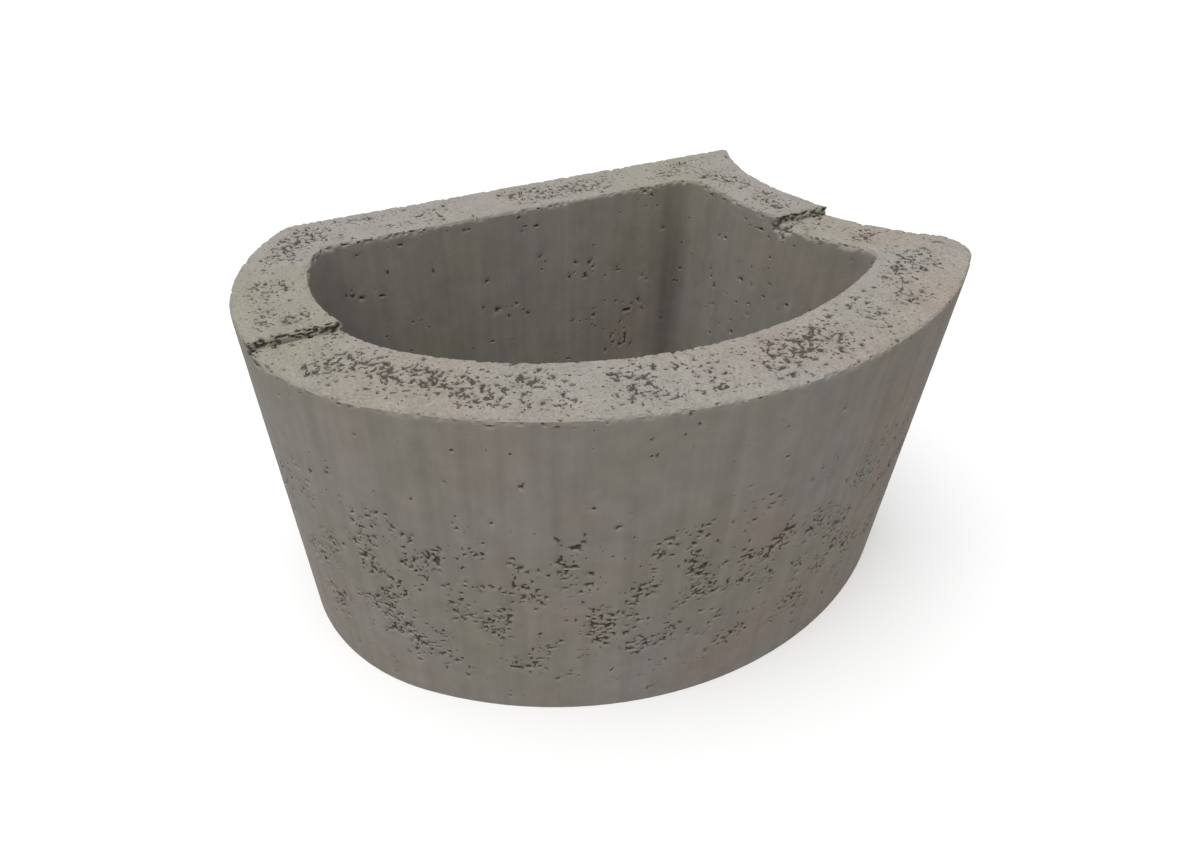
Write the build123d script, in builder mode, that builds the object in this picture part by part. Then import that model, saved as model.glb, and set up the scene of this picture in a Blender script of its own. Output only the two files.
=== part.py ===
"""Hollow retaining wall block of dry-cast concrete, made as one piece.

Seen from above the block is a D: a flat back wall, a bowed front wall and a rounded nose at
one end. The other end is scooped out to the nose's own radius, so that the nose of the next
block seats in it at any angle, and the front wall runs on past the scoop as a horn. The core
goes right through and narrows a little towards the underside, where the mould core was
withdrawn upwards. The rear half of the top stands higher than the front half, and the block
of the next course bears against that step.

Millimetres, +Z up. +X points from the nose to the socket, +Y from the bowed front to the flat
back. The origin is on the underside, at the middle of the block's bounding box.
"""

import os

from build123d import *

# Driving dimensions of the whole block
laid_length = 390.0
depth = 300.0
height = 250.0

# Bowed front and rounded nose, measured from the axis of the front arc
front_radius = 295.0
shoulder_angle = 40.5
horn_angle = 75.0
back_left_run = 197.0
back_left_radius = 15.0

# Socket at the other end, which takes the next block's nose
socket_play = 2.0
socket_setback = 73.0
horn_tip_radius = 24.0
back_right_radius = 4.0

# Walls around the core
front_wall = 52.0
back_wall = 46.0
socket_wall = 40.0
core_corner_inset = 16.0
core_draft = 1.0
core_back_radius = 20.0
core_horn_radius = 11.0

# Step across the top, a little off square to the back face
step_height = 6.0
step_setback = 141.0
step_skew = 2.6

# Rounding of the upper edges
arris_radius = 2.0

# Axis of the front arc, with x = 0 on the axis and y = 0 on the back face
front_axis_y = front_radius - depth


def bowed_outline(radius, left_run, back_y):
    """Draw the D without its socket: front arc, tangent nose arc, back line and a plain end.

    Args:
        radius: radius of the front arc about the common front axis.
        left_run: distance from the front axis to the corner of nose and back.
        back_y: place of the back line.

    Returns:
        The nose arc, from the shoulder to the back corner.
    """
    front = CenterArc((0, front_axis_y), radius, 270 - shoulder_angle, shoulder_angle + horn_angle)
    nose = TangentArc(front @ 0, (-left_run, back_y), tangent=-(front % 0))
    back = Line(nose @ 1, ((front @ 1).X, back_y))
    Line(back @ 1, front @ 1)
    return nose


def uprights(shape):
    """Return the edges of a shape that run from its underside to its top."""
    return shape.edges().filter_by(lambda edge: abs((edge % 0.5).Z) > 0.9)


# Outer outline in plan
with BuildSketch() as outline:
    with BuildLine():
        nose_arc = bowed_outline(front_radius, back_left_run, 0)
    make_face()
    nose_tip_x = nose_arc.arc_center.X - nose_arc.radius
    socket_radius = nose_arc.radius + socket_play
    socket_centre = (nose_tip_x + laid_length + socket_radius, -socket_setback)
    with Locations(socket_centre):
        Circle(socket_radius, mode=Mode.SUBTRACT)
    fillet(outline.vertices().group_by(Axis.Y)[-1].sort_by(Axis.X)[0], back_left_radius)
    fillet(outline.vertices().group_by(Axis.Y)[-1].sort_by(Axis.X)[-1], back_right_radius)
    fillet(outline.vertices().sort_by(Axis.X)[-1], horn_tip_radius)

# Core outline in plan, at the top of the block, with its corners still sharp
with BuildSketch() as core_outline:
    with BuildLine():
        bowed_outline(front_radius - front_wall, back_left_run - core_corner_inset, -back_wall)
    make_face()
    with Locations(socket_centre):
        Circle(socket_radius + socket_wall, mode=Mode.SUBTRACT)

# The plan's middle goes to the origin
plan_middle = outline.sketch.bounding_box().center()
underside = Plane((-plan_middle.X, -plan_middle.Y, 0))
top = underside.offset(height)

# The mould core that leaves the hollow: drafted, with its upright edges rounded
with BuildPart() as mould_core:
    with BuildSketch(top):
        add(core_outline.sketch)
    extrude(amount=-height, taper=core_draft)
    fillet(uprights(mould_core).group_by(Axis.Y)[-1], core_back_radius)
    fillet(uprights(mould_core).sort_by(Axis.X)[-1], core_horn_radius)

with BuildPart() as block:
    with BuildSketch(underside):
        add(outline.sketch)
    extrude(amount=height)
    add(mould_core.part, mode=Mode.SUBTRACT)

    # The front half of the top lies one step lower
    with BuildSketch(top):
        with Locations(Location((0, -step_setback), step_skew)):
            Rectangle(4 * laid_length, 2 * depth, align=(Align.CENTER, Align.MAX))
    extrude(amount=-step_height, mode=Mode.SUBTRACT)

    # Upper edges, all but the foot of the step
    front_top, rear_top = block.faces().filter_by(Axis.Z).sort_by(Axis.Z)[-2:]
    fillet(rear_top.edges() + front_top.edges().filter_by(GeomType.LINE, reverse=True), arris_radius)

block.part.label = "retaining_wall_block"

os.makedirs("parts", exist_ok=True)
export_step(block.part, "parts/retaining_wall_block.step")
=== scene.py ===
"""Looks of a hollow retaining wall block: one piece of dry-cast concrete on a studio floor.

The block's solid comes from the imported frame. A copy of it is cut into small faces, pitted,
roughened and worn along its upper edges, and stands for the plain solid. Metres, +Z up.
"""

import logging
import math
from collections.abc import Iterable
from dataclasses import dataclass
from enum import Enum

import bmesh
import bpy
from mathutils import Matrix, Vector, noise
from mathutils.bvhtree import BVHTree
from mathutils.kdtree import KDTree


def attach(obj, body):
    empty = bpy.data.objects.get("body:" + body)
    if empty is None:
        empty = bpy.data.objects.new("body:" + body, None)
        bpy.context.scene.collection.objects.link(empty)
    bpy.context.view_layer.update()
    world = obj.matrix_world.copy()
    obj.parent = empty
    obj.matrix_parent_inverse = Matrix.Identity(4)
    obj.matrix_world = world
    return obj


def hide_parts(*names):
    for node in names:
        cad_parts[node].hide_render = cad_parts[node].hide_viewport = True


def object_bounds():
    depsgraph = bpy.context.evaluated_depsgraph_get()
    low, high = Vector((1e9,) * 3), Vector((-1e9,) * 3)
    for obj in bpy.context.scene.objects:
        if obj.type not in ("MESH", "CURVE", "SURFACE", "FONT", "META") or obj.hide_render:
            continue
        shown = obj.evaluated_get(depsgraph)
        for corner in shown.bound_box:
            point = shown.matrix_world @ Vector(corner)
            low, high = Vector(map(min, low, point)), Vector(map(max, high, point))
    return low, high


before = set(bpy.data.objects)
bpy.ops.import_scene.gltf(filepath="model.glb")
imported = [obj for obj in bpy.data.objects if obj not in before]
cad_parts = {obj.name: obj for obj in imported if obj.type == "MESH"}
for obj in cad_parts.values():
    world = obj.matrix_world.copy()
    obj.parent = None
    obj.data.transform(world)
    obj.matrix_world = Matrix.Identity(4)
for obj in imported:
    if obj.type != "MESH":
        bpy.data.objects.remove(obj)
cad_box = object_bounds()

log = logging.getLogger("retaining_wall_block")

MM = 0.001
IMAGE_WIDTH, IMAGE_HEIGHT = 1184, 864
NODE = "retaining_wall_block"
WHITE = "#ffffff"

# Vertex attributes that tell the material the state of the surface, and where it has painted shade
HOLLOW = "hollow"
OPEN = "open"
SANDY = "sandy"
# Painted shade in the concave back corner of the core
CORNER_SHADE = "corner_shade"

# A point in the core, which tells the core's walls from the outer ones
CORE_MIDDLE = (0.0, 0.02)

# How far up or down a normal points on the top and on the underside
FACING_UP = 0.6
FACING_DOWN = -0.5

# How much finer each layer of a fractal pattern is than the one before, and how many it has
LACUNARITY = 2.0
OCTAVES = 3


def linear(hex_colour: str) -> tuple[float, float, float, float]:
    """Turn an sRGB hex colour into linear RGBA.

    Args:
        hex_colour: six hex digits after a hash.

    Returns:
        Linear red, green and blue with full opacity.
    """
    shares = [int(hex_colour[i:i + 2], 16) / 255 for i in (1, 3, 5)]
    red, green, blue = (s / 12.92 if s <= 0.04045 else ((s + 0.055) / 1.055) ** 2.4 for s in shares)
    return red, green, blue, 1.0


def per_metre(size_mm: float) -> float:
    """Give the texture scale whose features are this many millimetres across."""
    return 1 / (size_mm * MM)


def ramp(value: float, low: float, high: float) -> float:
    """Ease from 0 at low to 1 at high.

    Args:
        value: where on the ramp.
        low: end of the ramp that gives 0.
        high: end of the ramp that gives 1; it may be below low.

    Returns:
        A share from 0 to 1, level at both ends.
    """
    share = min(1.0, max(0.0, (value - low) / (high - low)))
    return share * share * (3 - 2 * share)


def index_points(points: Iterable[Vector]) -> KDTree:
    """Index points by place.

    Args:
        points: the points.

    Returns:
        A tree that finds the nearest point, numbered in their order.
    """
    places = list(points)
    tree = KDTree(len(places))
    for number, place in enumerate(places):
        tree.insert(place, number)
    tree.balance()
    return tree


def add_node(tree: bpy.types.NodeTree, kind: str, inputs: dict[str | int, object] | None = None,
             **settings: object) -> bpy.types.Node:
    """Add a node to a tree, set it up and wire its inputs.

    Args:
        tree: the node tree.
        kind: the node's type name.
        inputs: a constant or another node's output for each input, by name or number.
        settings: the node's own properties.

    Returns:
        The new node.
    """
    node = tree.nodes.new(kind)
    for name, value in settings.items():
        setattr(node, name, value)
    for socket, value in (inputs or {}).items():
        if isinstance(value, bpy.types.NodeSocket):
            tree.links.new(value, node.inputs[socket])
        else:
            node.inputs[socket].default_value = value
    return node


def ends(side: str, values: tuple[float, float]) -> dict[str | int, object]:
    """Give the two ends of a range, on its From or To side, as a node's inputs."""
    return {f"{side} Min": values[0], f"{side} Max": values[1]}


def seen_directly(tree: bpy.types.NodeTree) -> bpy.types.NodeSocket:
    """Tell where the camera sees a surface, straight, in a reflection or through glass.

    Args:
        tree: the nodes of a material or of the world.

    Returns:
        An output that is 1 there and 0 for other rays.
    """
    path = add_node(tree, "ShaderNodeLightPath")
    mirrored = add_node(tree, "ShaderNodeMath", {0: path.outputs["Is Camera Ray"],
                        1: path.outputs["Is Glossy Ray"]}, operation="MAXIMUM")
    return add_node(tree, "ShaderNodeMath", {0: mirrored.outputs[0],
                    1: path.outputs["Is Transmission Ray"]}, operation="MAXIMUM").outputs[0]


class Skin(Enum):
    """The three skins of the block, which the mould leaves in different states."""

    TOP = "top"
    OUTSIDE = "outside"
    CORE = "core"


@dataclass(frozen=True)
class Spot:
    """A point of the surface, with its normal and its gaps to an arris and to the step's foot."""

    place: Vector
    normal: Vector
    arris_gap: float
    foot_gap: float

    @property
    def outward(self) -> float:
        """Tell how far the surface is turned from the core: above 0 outside, below 0 inside."""
        return self.normal.xy.dot(self.place.xy - Vector(CORE_MIDDLE))

    @property
    def skin(self) -> Skin:
        """Tell which skin the spot is on.

        Returns:
            The skin.
        """
        if self.normal.z > FACING_UP:
            return Skin.TOP
        return Skin.OUTSIDE if self.outward > 0 else Skin.CORE


@dataclass(frozen=True)
class OpenMix:
    """Where the mix did not close in the mould, and the ragged holes it left there.

    Outside, the mix is open in a band at mid height, most of all in front. On top it is open
    along the middle of the walls and trowelled smooth at their edges. Lengths are in
    millimetres. A fill is the pair of noise levels at which a cluster begins and is full.
    """

    # The band outside: where it begins, is full, begins to end and has ended, from the underside
    band: tuple[float, float, float, float] = (18.0, 60.0, 126.0, 200.0)
    wall_cluster: float = 19.0
    wall_fill: tuple[float, float] = (-0.35, 0.45)
    behind_share: float = 0.5
    turned_forward: tuple[float, float] = (-0.2, 0.3)

    # The core, which has few holes
    core_cluster: float = 22.0
    core_fill: tuple[float, float] = (0.1, 0.7)
    core_share: float = 0.5

    # The top, trowelled up to a distance from its arrises
    top_cluster: float = 27.0
    top_fill: tuple[float, float] = (-0.65, 0.4)
    top_share: float = 0.88
    trowelled: tuple[float, float] = (2.0, 13.0)

    # The step, torn along its foot
    step_reach: tuple[float, float] = (8.5, 5.0)
    step_top_share: float = 0.6
    step_face_share: float = 1.15

    # One hole: its size, shape and edge
    wall_hole: float = 3.5
    top_hole: float = 3.1
    flattened: float = 1.9
    twist_size: float = 1.5
    twist_share: float = 0.5
    hole_smoothness: float = 0.6
    open_gain: float = 0.56
    hole_start: float = 0.64
    hole_floor: float = 0.84

    def openness(self, spot: Spot) -> float:
        """Tell how open the mix is.

        Args:
            spot: a point of the surface.

        Returns:
            0 where the mix is closed, 1 or a little more where it is at its most open.
        """
        stepped = ramp(spot.foot_gap, *(reach * MM for reach in self.step_reach))
        if spot.skin is Skin.TOP:
            worked = ramp(spot.arris_gap, *(gap * MM for gap in self.trowelled))
            opened = self.top_share * worked * self.clusters(spot, self.top_cluster, self.top_fill)
            return max(opened, self.step_top_share * stepped)
        if spot.skin is Skin.CORE:
            return self.core_share * self.clusters(spot, self.core_cluster, self.core_fill)
        low, full_low, full_high, high = (level * MM for level in self.band)
        banded = ramp(spot.place.z, low, full_low) * ramp(spot.place.z, high, full_high)
        forward = ramp(-spot.normal.y, *self.turned_forward)
        in_front = self.behind_share + (1 - self.behind_share) * forward
        opened = banded * in_front * self.clusters(spot, self.wall_cluster, self.wall_fill)
        return max(opened, self.step_face_share * stepped)

    def clusters(self, spot: Spot, size: float, fill: tuple[float, float]) -> float:
        """Give the share of open mix in clusters of a size."""
        return ramp(noise.noise(spot.place * per_metre(size)), *fill)

    def raggedness(self, spot: Spot, openness: float) -> float:
        """Give the pattern that is a hole where it rises above the hole's start.

        Args:
            spot: a point of the surface.
            openness: how open the mix is there.

        Returns:
            A value that is about 0 in closed mix and grows as the mix opens.
        """
        size = self.top_hole if spot.skin is Skin.TOP else self.wall_hole
        place = Vector((spot.place.x, spot.place.y, spot.place.z * self.flattened))
        twist = noise.noise_vector(place * per_metre(self.twist_size * size))
        place += twist * self.twist_share * size * MM
        pattern = noise.fractal(place * per_metre(size), self.hole_smoothness, LACUNARITY, OCTAVES)
        return pattern + self.open_gain * openness

    def hole(self, raggedness: float) -> float:
        """Give 0 on the skin between the holes and 1 at the bottom of a hole."""
        return ramp(raggedness, self.hole_start, self.hole_floor)


@dataclass(frozen=True)
class Chip:
    """A bite out of an arris, in millimetres."""

    place: tuple[float, float, float]
    reach: float
    depth: float


@dataclass(frozen=True)
class DryCastConcrete:
    """Dry-cast concrete, pressed in a steel mould and stripped at once.

    A stiff mix of cement, sand and fine grit: matt and grey, sandy on top, dragged smooth in
    upright streaks where the mould slid off, with dark pits where the mix did not close.
    A span is the part of a pattern that counts, and a tone is what it multiplies the colour by.
    """

    name: str = "dry_cast_concrete"
    cement: str = "#a8a39c"
    rusty_sand: str = "#aa9e94"
    mossy_grey: str = "#a4a092"
    pit_shade: str = "#5d5750"
    roughness: float = 0.93
    specular: float = 0.25

    # Stains a hand wide, rusty towards the front, the horn and the underside
    blotch_mm: float = 85.0
    rust_lean: tuple[float, float, float] = (0.3, -0.6, -0.3)
    rust_span: tuple[float, float] = (0.42, 0.66)
    moss_shift: tuple[float, float, float] = (3.1, 1.7, 0.9)
    moss_span: tuple[float, float] = (0.45, 0.68)

    # Mould streaks on the walls, mottling everywhere and the painted shade of the core's concave corner
    pattern_span: tuple[float, float] = (0.3, 0.7)
    streak_mm: float = 8.0
    streak_stretch: float = 18.0
    streak_tone: tuple[float, float] = (0.92, 1.07)
    mottle_mm: float = 14.0
    mottle_tone: tuple[float, float] = (0.92, 1.08)
    corner_shade_tone: tuple[float, float] = (1.0, 0.6)

    # Sand grains, drawn at the coarse end of real sand so that they show
    sand_mm: float = 1.6
    sand_tone: tuple[float, float] = (0.8, 1.17)
    grain_height_mm: float = 0.9
    grain_strength: tuple[float, float] = (0.1, 0.55)

    # The torn edge of a pit, which follows the sand
    torn_sand: float = 0.9
    torn_span: tuple[float, float] = (0.68, 1.25)

    # Pinholes, fewer on the walls than on top and most in open mix
    pinhole_mm: float = 2.6
    pinhole_depth_mm: float = 1.2
    pinhole_strength: float = 0.8
    pinhole_start: tuple[float, float] = (0.74, 0.68)
    pinhole_gain: float = -0.13
    pinhole_edge: tuple[float, float] = (0.0, 0.04)

    def build(self) -> bpy.types.Material:
        """Make the material.

        Returns:
            The concrete.
        """
        material = bpy.data.materials.new(self.name)
        material.use_nodes = True
        tree = material.node_tree
        tree.nodes.clear()
        place = add_node(tree, "ShaderNodeTexCoord").outputs["Object"]
        # The last of these is painted shade in a concave corner of the core
        hollow, opened, sandy, corner_shade = (
            add_node(tree, "ShaderNodeAttribute", attribute_name=state).outputs["Fac"]
            for state in (HOLLOW, OPEN, SANDY, CORNER_SHADE))
        sand = add_node(tree, "ShaderNodeTexNoise", {"Vector": place, "Scale": per_metre(self.sand_mm),
                        "Detail": 3.0, "Roughness": 0.6}).outputs["Fac"]
        pinholes = self.pinholes(tree, place, sandy, opened)
        skin = add_node(tree, "ShaderNodeVectorMath", {0: self.stains(tree, place),
                        "Scale": self.tone(tree, place, sandy, sand, corner_shade)}, operation="SCALE")
        ragged = add_node(tree, "ShaderNodeMath", {0: sand, 1: self.torn_sand, 2: hollow},
                          operation="MULTIPLY_ADD")
        torn = add_node(tree, "ShaderNodeMapRange", {"Value": ragged.outputs[0],
                        **ends("From", self.torn_span)})
        pitted = add_node(tree, "ShaderNodeMath", {0: torn.outputs[0], 1: pinholes}, operation="MAXIMUM")
        shaded = add_node(tree, "ShaderNodeMix", {"Factor": pitted.outputs[0], 6: skin.outputs[0],
                          7: linear(self.pit_shade)}, data_type="RGBA")
        grit = add_node(tree, "ShaderNodeMapRange", {"Value": sandy, **ends("To", self.grain_strength)})
        grain = add_node(tree, "ShaderNodeBump", {"Strength": grit.outputs[0],
                         "Distance": self.grain_height_mm * MM, "Height": sand})
        holes = add_node(tree, "ShaderNodeBump", {"Strength": self.pinhole_strength,
                         "Distance": self.pinhole_depth_mm * MM, "Height": pinholes,
                         "Normal": grain.outputs[0]}, invert=True)
        surface = add_node(tree, "ShaderNodeBsdfPrincipled",
                           {"Base Color": shaded.outputs[2], "Roughness": self.roughness,
                            "Specular IOR Level": self.specular, "Normal": holes.outputs[0]})
        add_node(tree, "ShaderNodeOutputMaterial", {"Surface": surface.outputs[0]})
        return material

    def stains(self, tree: bpy.types.NodeTree, place: bpy.types.NodeSocket) -> bpy.types.NodeSocket:
        """Colour the cement with rusty and mossy stains.

        Args:
            tree: the material's nodes.
            place: the object coordinates.

        Returns:
            The colour's output.
        """
        elsewhere = add_node(tree, "ShaderNodeMapping", {"Vector": place, "Location": self.moss_shift})
        rust = add_node(tree, "ShaderNodeTexNoise", {"Vector": place,
                        "Scale": per_metre(self.blotch_mm), "Detail": 4.0})
        moss = add_node(tree, "ShaderNodeTexNoise", {"Vector": elsewhere.outputs[0],
                        "Scale": per_metre(self.blotch_mm), "Detail": 4.0})
        towards = add_node(tree, "ShaderNodeVectorMath", {0: place, 1: self.rust_lean},
                           operation="DOT_PRODUCT")
        leaning = add_node(tree, "ShaderNodeMath", {0: towards.outputs["Value"],
                           1: rust.outputs["Fac"]}, operation="ADD")
        rusty = add_node(tree, "ShaderNodeMapRange", {"Value": leaning.outputs[0],
                         **ends("From", self.rust_span)})
        mossy = add_node(tree, "ShaderNodeMapRange", {"Value": moss.outputs["Fac"],
                         **ends("From", self.moss_span)})
        rusted = add_node(tree, "ShaderNodeMix", {"Factor": rusty.outputs[0], 6: linear(self.cement),
                          7: linear(self.rusty_sand)}, data_type="RGBA")
        return add_node(tree, "ShaderNodeMix", {"Factor": mossy.outputs[0], 6: rusted.outputs[2],
                        7: linear(self.mossy_grey)}, data_type="RGBA").outputs[2]

    def tone(self, tree: bpy.types.NodeTree, place: bpy.types.NodeSocket, sandy: bpy.types.NodeSocket,
             sand: bpy.types.NodeSocket, corner_shade: bpy.types.NodeSocket) -> bpy.types.NodeSocket:
        """Shade the skin: mould streaks on the walls, sand grains on top, mottling, and painted shade in
        a corner of the core.

        Args:
            tree: the material's nodes.
            place: the object coordinates.
            sandy: 1 on the sandy top, 0 on the smooth walls.
            sand: the sand's own pattern.
            corner_shade: 1 where the painted shade in the core's corner is darkest.

        Returns:
            The output to multiply the colour by.
        """
        drawn_out = add_node(tree, "ShaderNodeMapping", {"Vector": place,
                             "Scale": (1.0, 1.0, 1 / self.streak_stretch)})
        streaks = add_node(tree, "ShaderNodeTexNoise", {"Vector": drawn_out.outputs[0],
                           "Scale": per_metre(self.streak_mm), "Detail": 3.0})
        mottle = add_node(tree, "ShaderNodeTexNoise", {"Vector": place,
                          "Scale": per_metre(self.mottle_mm), "Detail": 5.0, "Roughness": 0.6})
        dragged, grains, patchy = (
            add_node(tree, "ShaderNodeMapRange", {"Value": pattern, **ends("From", self.pattern_span),
                     **ends("To", tone)}).outputs[0]
            for pattern, tone in ((streaks.outputs["Fac"], self.streak_tone), (sand, self.sand_tone),
                                  (mottle.outputs["Fac"], self.mottle_tone)))
        worked = add_node(tree, "ShaderNodeMix", {"Factor": sandy, 2: dragged, 3: grains},
                          data_type="FLOAT")
        even = add_node(tree, "ShaderNodeMath", {0: worked.outputs[0], 1: patchy}, operation="MULTIPLY")
        # The painted corner shade darkens the colour
        dark = add_node(tree, "ShaderNodeMapRange", {"Value": corner_shade, **ends("To", self.corner_shade_tone)})
        return add_node(tree, "ShaderNodeMath", {0: even.outputs[0], 1: dark.outputs[0]},
                        operation="MULTIPLY").outputs[0]

    def pinholes(self, tree: bpy.types.NodeTree, place: bpy.types.NodeSocket,
                 sandy: bpy.types.NodeSocket, opened: bpy.types.NodeSocket) -> bpy.types.NodeSocket:
        """Make the pinholes that are too fine to model.

        Args:
            tree: the material's nodes.
            place: the object coordinates.
            sandy: 1 on the sandy top, which has more of them, and 0 on the walls.
            opened: 1 where the mix is open and has the most, 0 where it is closed.

        Returns:
            An output that is 1 in a pinhole and 0 elsewhere.
        """
        pattern = add_node(tree, "ShaderNodeTexNoise", {"Vector": place,
                           "Scale": per_metre(self.pinhole_mm), "Detail": 3.0, "Roughness": 0.55})
        closed = add_node(tree, "ShaderNodeMapRange", {"Value": sandy, **ends("To", self.pinhole_start)})
        least = add_node(tree, "ShaderNodeMath", {0: opened, 1: self.pinhole_gain, 2: closed.outputs[0]},
                         operation="MULTIPLY_ADD")
        above = add_node(tree, "ShaderNodeMath", {0: pattern.outputs["Fac"], 1: least.outputs[0]},
                         operation="SUBTRACT")
        return add_node(tree, "ShaderNodeMapRange", {"Value": above.outputs[0],
                        **ends("From", self.pinhole_edge)}).outputs[0]


@dataclass(frozen=True)
class MattWhitePaint:
    """Matt white paint on the studio floor: even and without gloss.

    To the eye it is near white under the soft light, and on the block it throws back little.
    """

    name: str = "matt_white_paint"
    shown: str = "#f3f3f3"
    thrown_back: str = "#9b9b9b"
    lift: float = 0.2

    def build(self) -> bpy.types.Material:
        """Make the material.

        Returns:
            The paint.
        """
        material = bpy.data.materials.new(self.name)
        material.use_nodes = True
        tree = material.node_tree
        tree.nodes.clear()
        seen = seen_directly(tree)
        bounce = add_node(tree, "ShaderNodeBsdfDiffuse", {"Color": linear(self.thrown_back)})
        white = add_node(tree, "ShaderNodeBsdfDiffuse", {"Color": linear(self.shown)})
        lift = add_node(tree, "ShaderNodeEmission", {"Color": linear(WHITE), "Strength": self.lift})
        shown = add_node(tree, "ShaderNodeAddShader", {0: white.outputs[0], 1: lift.outputs[0]})
        mixed = add_node(tree, "ShaderNodeMixShader", {0: seen, 1: bounce.outputs[0],
                         2: shown.outputs[0]})
        add_node(tree, "ShaderNodeOutputMaterial", {"Surface": mixed.outputs[0]})
        return material


@dataclass
class Block:
    """The concrete block: its fine mesh, its holes, grain and wear, and its finish.

    Lengths are in millimetres, angles in degrees.
    """

    mix: OpenMix = OpenMix()
    noise_seed: int = 5

    # The even mesh, and the spacing of its points where it is halved once and twice
    merge_gap: float = 0.001
    octree_depth: int = 7
    octree_fill: float = 0.65
    spacings: tuple[float, float] = (3.2, 1.6)
    underside_snap: float = 2.0
    hole_margin: float = 0.09
    open_margin: float = 0.12
    smooth_angle: float = 40.0

    # The step's foot lies between two levels, and the mesh is made on a stretched step
    step_level: float = 236.0
    step_foot: float = 245.0
    step_stretch: float = 3.0
    foot_angle: float = -40.0

    # Arrises, which crumble, more along the core than outside
    lowest_arris: float = 20.0
    arris_angle: float = 22.0
    arris_reach: float = 3.0
    outer_wear: float = 1.3
    core_wear: float = 2.0
    nick_size: float = 5.0
    nick_smoothness: float = 0.5
    nick_fill: tuple[float, float] = (-0.1, 0.6)

    # Uneven skin, coarse on the sandy top where the mix is open, and the depth of the holes
    sandy_slope: tuple[float, float] = (0.2, 0.8)
    top_grain: float = 0.9
    wall_grain: float = 0.15
    grain_size: float = 9.0
    grain_smoothness: float = 0.7
    closed_grain: float = 0.45
    open_grain: float = 0.55
    hole_depth: float = 1.3
    underside_ease: float = 1.5

    # Chips, two at the nose and one at the step over the socket
    chips: tuple[Chip, ...] = (
        Chip((-217.0, -9.5, 239.0), 3.2, 2.5),
        Chip((-213.5, -19.5, 242.5), 3.5, 2.0),
        Chip((135.5, 10.5, 245.5), 9.0, 4.0),
    )
    chip_grit: float = 3.0
    chip_raggedness: float = 0.4
    chip_edge: tuple[float, float] = (1.0, 0.4)
    chip_shade: float = 0.7

    # Painted shade in one concave corner of the core, fading towards its top
    shaded_corner: tuple[float, float] = (110.0, 101.0)
    shade_reach: float = 21.0
    shade_fading_levels: tuple[float, float] = (160.0, 250.0)
    faded_share: float = 0.6

    def build(self) -> bpy.types.Object:
        """Copy the solid as a fine mesh and work its surface.

        Returns:
            The piece that stands for the plain solid.
        """
        # Without a seed the twist of the holes starts from the clock
        noise.seed_set(self.noise_seed)
        shape = self.even_copy()
        arrises, feet = self.sharp_edges(shape)
        self.refine(shape, arrises, feet)
        looks = self.carve(shape, arrises, feet)
        log.info("%d triangles", sum(len(face.verts) - 2 for face in shape.faces))
        mesh = bpy.data.meshes.new("concrete_block")
        shape.to_mesh(mesh)
        shape.free()
        for name, values in looks.items():
            mesh.attributes.new(name, "FLOAT", "POINT").data.foreach_set("value", values)
        mesh.shade_smooth()
        mesh.set_sharp_from_angle(angle=math.radians(self.smooth_angle))
        piece = bpy.data.objects.new("concrete_block", mesh)
        bpy.context.scene.collection.objects.link(piece)
        return piece

    def even_copy(self) -> bmesh.types.BMesh:
        """Copy the solid as an even mesh of small faces that keeps its edges sharp.

        Returns:
            The new mesh, with every point on the solid's surface.
        """
        shape = bmesh.new()
        shape.from_mesh(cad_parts[NODE].data)
        bmesh.ops.remove_doubles(shape, verts=shape.verts, dist=self.merge_gap * MM)
        surface = BVHTree.FromBMesh(shape)
        self.stretch(shape, self.step_stretch)
        mesh = bpy.data.meshes.new("plain_solid")
        shape.to_mesh(mesh)
        solid = bpy.data.objects.new("plain_solid", mesh)
        bpy.context.scene.collection.objects.link(solid)
        remesh = solid.modifiers.new("even_faces", "REMESH")
        remesh.mode = "SHARP"
        remesh.octree_depth = self.octree_depth
        remesh.scale = self.octree_fill
        remesh.use_remove_disconnected = False
        evaluated = solid.evaluated_get(bpy.context.evaluated_depsgraph_get())
        even = bpy.data.meshes.new_from_object(evaluated)
        shape.clear()
        shape.from_mesh(even)
        self.stretch(shape, 1 / self.step_stretch)
        for vertex in shape.verts:
            vertex.co = surface.find_nearest(vertex.co)[0]
            if vertex.co.z < self.underside_snap * MM:
                vertex.co.z = 0.0
        bpy.data.meshes.remove(even)
        bpy.data.meshes.remove(mesh)
        return shape

    def stretch(self, shape: bmesh.types.BMesh, share: float) -> None:
        """Stretch a shape upwards above the step's level, so that even faces suit the low step.

        Args:
            shape: the mesh.
            share: its new height above that level, as a share of the old one.
        """
        level = self.step_level * MM
        for vertex in shape.verts:
            vertex.co.z += max(0.0, vertex.co.z - level) * (share - 1)

    def sharp_edges(self, shape: bmesh.types.BMesh) -> tuple[KDTree, KDTree]:
        """Find the sharp edges above the underside.

        Args:
            shape: the even mesh.

        Returns:
            Points along the arrises, which crumble, and along the foot of the step.
        """
        shape.normal_update()
        arrises, feet = [], []
        for edge in shape.edges:
            middle = (edge.verts[0].co + edge.verts[1].co) / 2
            angle = math.degrees(edge.calc_face_angle_signed(0.0))
            if middle.z > self.lowest_arris * MM and angle > self.arris_angle:
                arrises.append(middle)
            elif self.step_level * MM < middle.z < self.step_foot * MM and angle < self.foot_angle:
                feet.append(middle)
        return index_points(arrises), index_points(feet)

    def survey(self, shape: bmesh.types.BMesh, arrises: KDTree, feet: KDTree) -> list[Spot]:
        """Measure the surface at every vertex.

        Args:
            shape: the mesh.
            arrises: points along the edges that crumble.
            feet: points along the foot of the step.

        Returns:
            A spot for each vertex, in their order.
        """
        shape.normal_update()
        shape.verts.index_update()
        return [Spot(v.co.copy(), v.normal.copy(), arrises.find(v.co)[2], feet.find(v.co)[2])
                for v in shape.verts]

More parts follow.
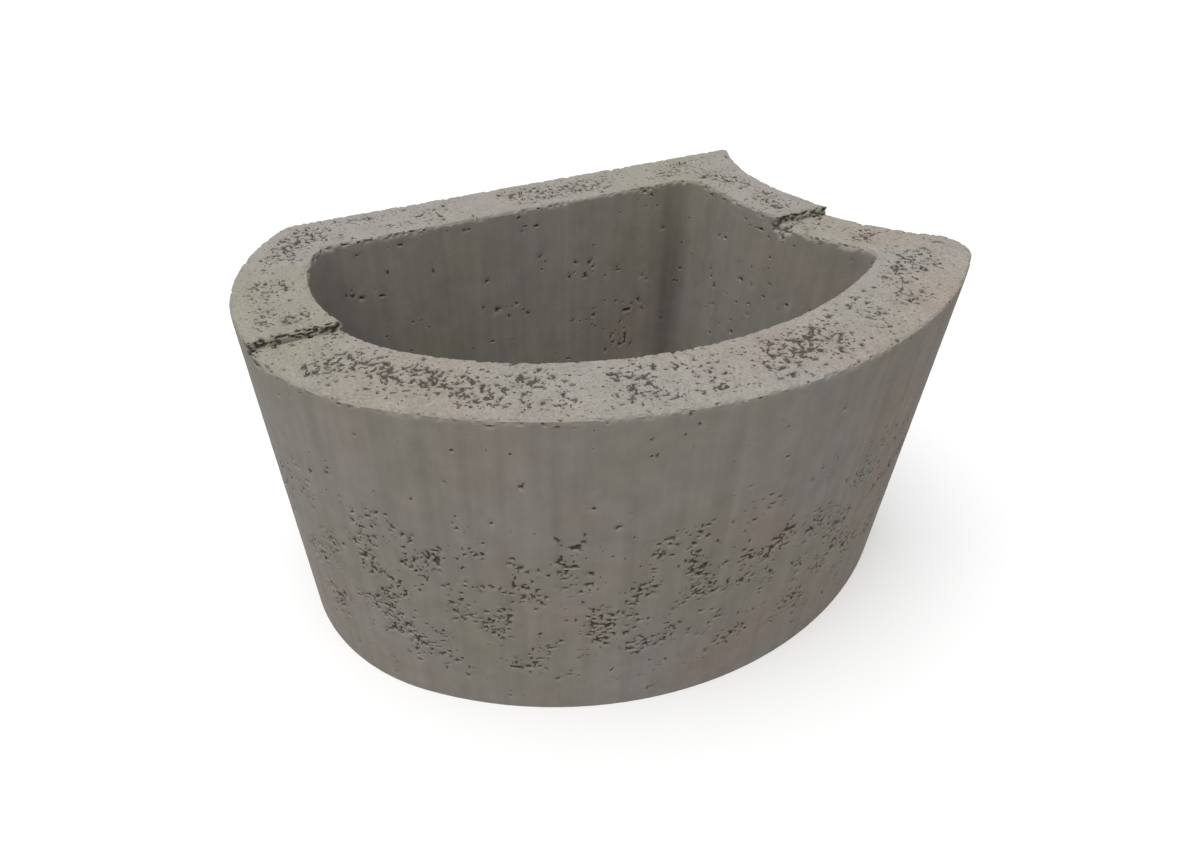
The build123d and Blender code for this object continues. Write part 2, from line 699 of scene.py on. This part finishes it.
    def refine(self, shape: bmesh.types.BMesh, arrises: KDTree, feet: KDTree) -> None:
        """Halve edges on the top and in open mix, then once more along the arrises and in the holes.

        Args:
            shape: the even mesh.
            arrises: points along the edges that crumble.
            feet: points along the foot of the step.
        """
        for number, spacing in enumerate(self.spacings):
            needs = [self.fineness(spot) for spot in self.survey(shape, arrises, feet)]
            long_edges = [edge for edge in shape.edges if edge.calc_length() > spacing * MM
                          and max(needs[v.index] for v in edge.verts) > number]
            bmesh.ops.subdivide_edges(shape, edges=long_edges, cuts=1, use_grid_fill=True)
            bmesh.ops.triangulate(shape, faces=[f for f in shape.faces if len(f.verts) > 4])

    def fineness(self, spot: Spot) -> int:
        """Tell how many times the mesh is halved at a spot.

        Args:
            spot: a point of the surface.

        Returns:
            0 on smooth skin, 1 on the top and in open mix, 2 at holes, arrises and chips.
        """
        if spot.normal.z < FACING_DOWN:
            return 0
        openness = self.mix.openness(spot)
        ragged = self.mix.raggedness(spot, openness)
        if spot.arris_gap < self.arris_reach * MM or ragged > self.mix.hole_start - self.hole_margin:
            return 2
        if self.bite(spot)[0] > 0:
            return 2
        return 1 if openness > self.open_margin or spot.skin is Skin.TOP else 0

    def carve(self, shape: bmesh.types.BMesh, arrises: KDTree, feet: KDTree) -> dict[str, list[float]]:
        """Press the holes, the grain, the worn edges and the chips into the surface.

        Args:
            shape: the fine mesh.
            arrises: points along the edges that crumble.
            feet: points along the foot of the step.

        Returns:
            For each vertex, how far it lies in a hole, how open the mix is round it, how sandy its skin
            is and how much painted shade it has in the core's corner.
        """
        looks = {HOLLOW: [], OPEN: [], SANDY: [], CORNER_SHADE: []}
        low, high = cad_box
        for vertex, spot in zip(shape.verts, self.survey(shape, arrises, feet)):
            openness = self.mix.openness(spot)
            hole = self.mix.hole(self.mix.raggedness(spot, openness))
            sandy = ramp(spot.normal.z, *self.sandy_slope)
            bitten, bite = self.bite(spot)
            looks[HOLLOW].append(max(hole, bitten))
            looks[OPEN].append(openness)
            looks[SANDY].append(sandy)
            # Painted shade in the core's concave corner
            looks[CORNER_SHADE].append(self.corner_shade(spot))
            pressed = max(self.hole_depth * hole, bite)
            depth = pressed + self.grain(spot, sandy, openness) + self.wear(spot)
            depth *= ramp(spot.place.z, 0.0, self.underside_ease * MM)
            moved = spot.place - spot.normal * depth * MM
            vertex.co = [min(max(c, a), b) for c, a, b in zip(moved, low, high)]
        return looks

    def grain(self, spot: Spot, sandy: float, openness: float) -> float:
        """Give the depth of the uneven skin: sandy and lumpy on top, almost flat on the walls.

        Args:
            spot: a point of the surface.
            sandy: 1 on the sandy top, 0 on the walls.
            openness: how open the mix is there.

        Returns:
            The depth in millimetres.
        """
        pattern = noise.fractal(spot.place * per_metre(self.grain_size), self.grain_smoothness,
                                LACUNARITY, OCTAVES)
        lumps = 0.5 + 0.5 * pattern
        coarseness = self.closed_grain + self.open_grain * openness
        return lumps * (self.wall_grain + (self.top_grain - self.wall_grain) * sandy * coarseness)

    def wear(self, spot: Spot) -> float:
        """Give the depth that an arris has crumbled by.

        Args:
            spot: a point of the surface.

        Returns:
            The depth in millimetres, 0 away from the arrises.
        """
        near = ramp(spot.arris_gap, self.arris_reach * MM, 0)
        pattern = noise.fractal(spot.place * per_metre(self.nick_size), self.nick_smoothness,
                                LACUNARITY, OCTAVES)
        nicked = ramp(pattern, *self.nick_fill)
        return near * nicked * (self.outer_wear if spot.outward > 0 else self.core_wear)

    def corner_shade(self, spot: Spot) -> float:
        """Give the painted shade in one concave corner of the core, lighter towards the top.

        Args:
            spot: a point of the surface.

        Returns:
            A share from 0 to 1.
        """
        if spot.skin is not Skin.CORE:
            return 0.0
        gap = (spot.place.xy / MM - Vector(self.shaded_corner)).length
        faded = self.faded_share * ramp(spot.place.z, *(level * MM for level in self.shade_fading_levels))
        return ramp(gap, self.shade_reach, 0) * (1 - faded)

    def bite(self, spot: Spot) -> tuple[float, float]:
        """Tell how a spot lies in a chip.

        Args:
            spot: a point of the surface.

        Returns:
            How dark the chip is there, from 0 to 1, and its depth in millimetres.
        """
        for chip in self.chips:
            gap = (spot.place - Vector(chip.place) * MM).length / MM
            if gap < chip.reach:
                ragged = self.chip_raggedness * noise.noise(spot.place * per_metre(self.chip_grit))
                share = ramp(gap / chip.reach + ragged, *self.chip_edge)
                return self.chip_shade * share, chip.depth * share
        return 0.0, 0.0

    def dress(self, piece: bpy.types.Object, concrete: bpy.types.Material) -> None:
        """Give the piece its finish and put it in the frame.

        Args:
            piece: the block's fine mesh.
            concrete: its material.
        """
        piece.data.materials.append(concrete)
        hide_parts(NODE)
        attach(piece, "root")


@dataclass
class Studio:
    """Pale floor, soft light from above and a white surround.

    The floor's size is in metres, angles are in degrees.
    """

    floor_size: float = 12.0
    paint: MattWhitePaint = MattWhitePaint()
    sun_share: float = 0.68
    sun_spread: float = 50.0
    sun_lean: tuple[float, float, float] = (7.0, -15.0, 0.0)
    sky_share: float = 0.3

    def build(self) -> bpy.types.Object:
        """Make the floor, the lamp and the world.

        Returns:
            The floor.
        """
        shape = bmesh.new()
        bmesh.ops.create_grid(shape, x_segments=1, y_segments=1, size=self.floor_size / 2)
        mesh = bpy.data.meshes.new("floor")
        shape.to_mesh(mesh)
        shape.free()
        floor = bpy.data.objects.new("floor", mesh)
        bpy.context.scene.collection.objects.link(floor)
        floor.data.materials.append(self.paint.build())

        lamp = bpy.data.lights.new("soft_top_light", "SUN")
        lamp.energy = math.pi * self.sun_share
        lamp.angle = math.radians(self.sun_spread)
        top_light = bpy.data.objects.new("soft_top_light", lamp)
        top_light.rotation_euler = [math.radians(lean) for lean in self.sun_lean]
        bpy.context.scene.collection.objects.link(top_light)
        self.surround()
        return floor

    def surround(self) -> None:
        """Make the world: an even dim sky that the camera sees as white."""
        world = bpy.data.worlds.new("white_surround")
        world.use_nodes = True
        tree = world.node_tree
        tree.nodes.clear()
        seen = seen_directly(tree)
        sky = add_node(tree, "ShaderNodeBackground", {"Color": linear(WHITE), "Strength": self.sky_share})
        white = add_node(tree, "ShaderNodeBackground", {"Color": linear(WHITE), "Strength": 1.0})
        mixed = add_node(tree, "ShaderNodeMixShader", {0: seen, 1: sky.outputs[0], 2: white.outputs[0]})
        add_node(tree, "ShaderNodeOutputWorld", {"Surface": mixed.outputs[0]})
        bpy.context.scene.world = world


@dataclass(frozen=True)
class PhotoCamera:
    """The photograph's viewpoint. Focal length and axis in its pixels, angles in degrees."""

    focal: float = 756.7
    axis: tuple[float, float] = (524.0, 470.0)
    place_mm: tuple[float, float, float] = (-205.2, -391.1, 459.1)
    yaw: float = 20.13
    tilt: float = 40.56
    roll: float = 2.40
    sensor_mm: float = 36.0

    def build(self) -> bpy.types.Object:
        """Make the camera and set it as the scene's own.

        Returns:
            The camera.
        """
        yaw, tilt, roll = (math.radians(a) for a in (self.yaw, self.tilt, self.roll))
        ahead = Vector((math.cos(tilt) * math.sin(yaw), math.cos(tilt) * math.cos(yaw), -math.sin(tilt)))
        level_right = Vector((math.cos(yaw), -math.sin(yaw), 0))
        level_down = ahead.cross(level_right)
        right = math.cos(roll) * level_right + math.sin(roll) * level_down
        turned = Matrix((right, right.cross(ahead), -ahead)).transposed().to_4x4()

        lens = bpy.data.cameras.new("photo_camera")
        lens.sensor_width = self.sensor_mm
        lens.lens = self.focal / IMAGE_WIDTH * self.sensor_mm
        lens.shift_x = (IMAGE_WIDTH / 2 - self.axis[0]) / IMAGE_WIDTH
        lens.shift_y = (self.axis[1] - IMAGE_HEIGHT / 2) / IMAGE_WIDTH
        camera = bpy.data.objects.new("photo_camera", lens)
        camera.matrix_world = Matrix.Translation(Vector(self.place_mm) * MM) @ turned
        bpy.context.scene.collection.objects.link(camera)
        bpy.context.scene.camera = camera
        return camera


def main() -> None:
    """Build the block and the studio round it."""
    logging.basicConfig(level=logging.INFO)
    bpy.context.scene.view_settings.view_transform = "Standard"
    block = Block()
    piece = block.build()
    block.dress(piece, DryCastConcrete().build())
    log.info("made %s", piece.name)
    log.info("made %s", Studio().build().name)
    log.info("made %s", PhotoCamera().build().name)


if __name__ == "__main__":
    main()
